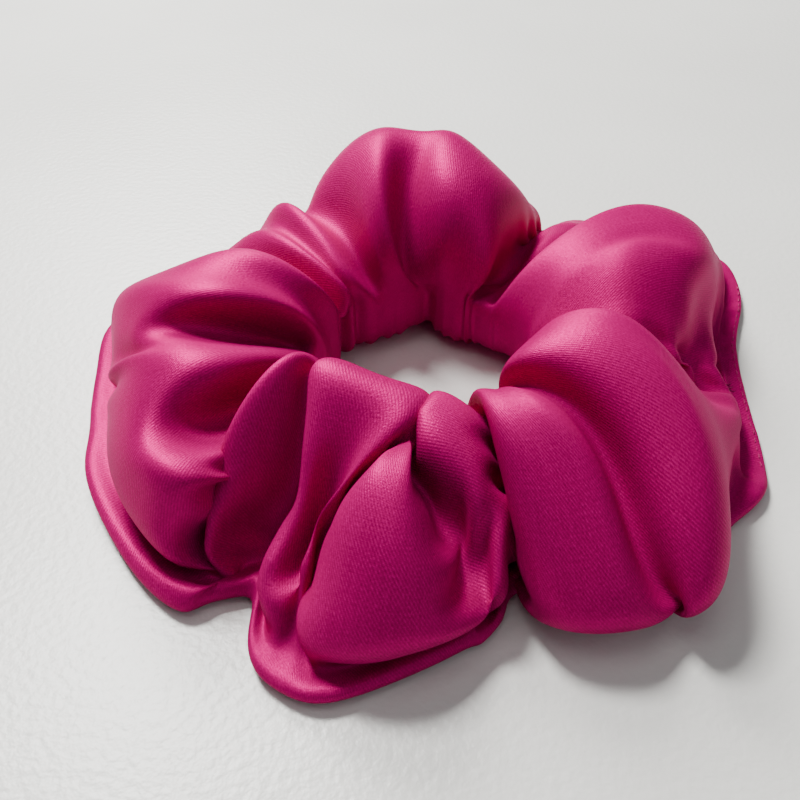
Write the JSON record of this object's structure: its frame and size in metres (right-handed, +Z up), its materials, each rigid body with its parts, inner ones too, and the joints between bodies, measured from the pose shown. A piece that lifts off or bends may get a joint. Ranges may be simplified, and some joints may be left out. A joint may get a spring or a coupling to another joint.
{
  "type": "scrunchie",
  "caption": "Soft ring-shaped hair tie: a satin tube gathered in puffs over a hidden flat elastic loop, with a central opening for a ponytail.",
  "frame": {"origin": "on the surface that the scrunchie lies on, at the centre of the elastic loop", "axes": "+Z up out of the opening, +X towards the side with the end seam and the closing stitches, -Y towards the viewer"},
  "size_m": [0.1419, 0.1387, 0.045],
  "materials": {
    "satin": "magenta satin weave, soft directional sheen",
    "elastic": "white braided elastic, matt",
    "thread": "magenta spun thread, slight sheen"
  },
  "bodies": {
    "sleeve": {"satin_sleeve": "satin", "long_seam_needle_thread": "thread", "long_seam_bobbin_thread": "thread", "end_seam_needle_thread": "thread", "end_seam_bobbin_thread": "thread", "closing_needle_thread": "thread", "closing_bobbin_thread": "thread"},
    "elastic": {"elastic_band": "elastic", "elastic_join_needle_thread": "thread", "elastic_join_bobbin_thread": "thread"}
  },
  "joints": [
    {"name": "elastic_turn", "type": "hinge", "parent": "sleeve", "child": "elastic", "pos_m": [0, 0, 0.011], "axis": [0, 0, 1], "continuous": true}
  ]
}
